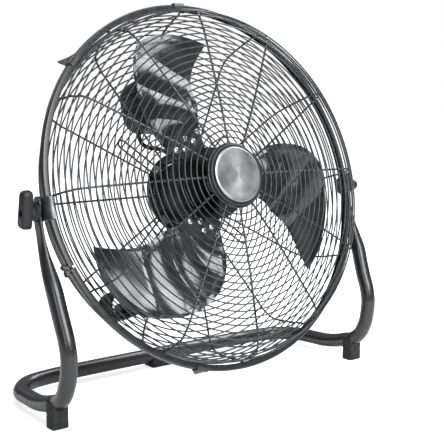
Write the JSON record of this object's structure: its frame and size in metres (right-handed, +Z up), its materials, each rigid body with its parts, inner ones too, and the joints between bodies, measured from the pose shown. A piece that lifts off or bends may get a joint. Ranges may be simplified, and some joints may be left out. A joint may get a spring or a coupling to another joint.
{
  "type": "floor fan",
  "caption": "Round wire-caged floor fan with metal blades, tilting between the legs of a bent-tube cradle stand.",
  "frame": {"origin": "middle of the object's box, on the floor under the feet", "axes": "+Z up; the fan blows towards -Y, which is its front; +X is on the right as seen from the front"},
  "size_m": [0.605, 0.2678, 0.5636],
  "materials": {
    "stand_paint": "satin black powder coat",
    "foot_rubber": "matt moulded rubber",
    "rim_paint": "satin black powder coat",
    "zinc_fasteners": "bright zinc plate",
    "guard_wire": "satin black powder coat over welded wire",
    "cap_holder_plastic": "fine-grained moulding",
    "cap_metal": "satin, spun",
    "motor_paint": "satin black enamel",
    "laminated_steel": "varnished laminations",
    "copper_winding": "enamelled copper wire",
    "bearing_steel": "ground steel",
    "blade_paint": "semi-gloss graphite paint on pressed sheet",
    "bracket_paint": "satin black powder coat",
    "washer_plastic": "friction washer",
    "knob_plastic": "fine-grained moulding",
    "box_plastic": "fine-grained moulding",
    "cord_sheath": "soft round sheath",
    "tie_plastic": "moulded",
    "plug_plastic": "moulded, with plated pins"
  },
  "bodies": {
    "stand": {"stand_tube": "stand_paint", "front_foot_left": "foot_rubber", "front_foot_right": "foot_rubber", "rear_foot": "foot_rubber"},
    "head": {"rim_band": "rim_paint", "clip_top": "rim_paint", "clip_upper_left": "rim_paint", "clip_bottom": "rim_paint", "rim_clamp_screw": "zinc_fasteners", "rim_clamp_nut": "zinc_fasteners", "motor_mount_screw_1": "zinc_fasteners", "motor_mount_screw_2": "zinc_fasteners", "motor_mount_screw_3": "zinc_fasteners", "motor_mount_screw_4": "zinc_fasteners", "motor_mount_nut_1": "zinc_fasteners", "motor_mount_nut_2": "zinc_fasteners", "motor_mount_nut_3": "zinc_fasteners", "motor_mount_nut_4": "zinc_fasteners", "pivot_bolt_left": "zinc_fasteners", "pivot_bolt_right": "zinc_fasteners", "front_guard": "guard_wire", "rear_guard": "guard_wire", "cap_holder": "cap_holder_plastic", "cap_plate": "cap_metal", "motor_front_shell": "motor_paint", "motor_rear_shell": "motor_paint", "motor_mount_plate": "motor_paint", "motor_stator": "laminated_steel", "motor_winding_front": "copper_winding", "motor_winding_rear": "copper_winding", "motor_bearing_front": "bearing_steel", "motor_bearing_rear": "bearing_steel", "pivot_bracket_left": "bracket_paint", "pivot_bracket_right": "bracket_paint", "pivot_washer_left": "washer_plastic", "pivot_washer_right": "washer_plastic", "switch_box": "box_plastic", "switch_box_lid": "box_plastic", "speed_switch": "box_plastic", "motor_lead": "cord_sheath", "cord_lead": "cord_sheath", "cord_hank": "cord_sheath", "cord_tail": "cord_sheath", "cord_gland": "cord_sheath", "cord_tie": "tie_plastic", "plug": "plug_plastic"},
    "rotor": {"blade_spider": "blade_paint", "blade_1": "blade_paint", "blade_2": "blade_paint", "blade_3": "blade_paint", "hub_nut": "zinc_fasteners", "motor_shaft": "bearing_steel", "motor_rotor": "laminated_steel"},
    "knob_left": {"tilt_knob_left": "knob_plastic"},
    "knob_right": {"tilt_knob_right": "knob_plastic"},
    "speed_knob": {"speed_knob": "knob_plastic"}
  },
  "joints": [
    {"name": "head_tilt", "type": "hinge", "parent": "stand", "child": "head", "pos_m": [0, -0.02015, 0.2775], "axis": [-1, 0, 0], "range_deg": [-50, 73]},
    {"name": "fan_spin", "type": "hinge", "parent": "head", "child": "rotor", "pos_m": [0, -0.03444, 0.29967], "axis": [0, -0.9588, 0.284], "continuous": true},
    {"name": "tilt_knob_left_turn", "type": "hinge", "parent": "stand", "child": "knob_left", "pos_m": [-0.29, -0.02015, 0.2775], "axis": [-1, 0, 0], "range_deg": [0, 360]},
    {"name": "tilt_knob_right_turn", "type": "hinge", "parent": "stand", "child": "knob_right", "pos_m": [0.29, -0.02015, 0.2775], "axis": [1, 0, 0], "range_deg": [0, 360]},
    {"name": "speed_knob_turn", "type": "hinge", "parent": "head", "child": "speed_knob", "pos_m": [-0.021, 0.11866, 0.39825], "axis": [0, 0.9588, -0.284], "range_deg": [0, 270]}
  ]
}
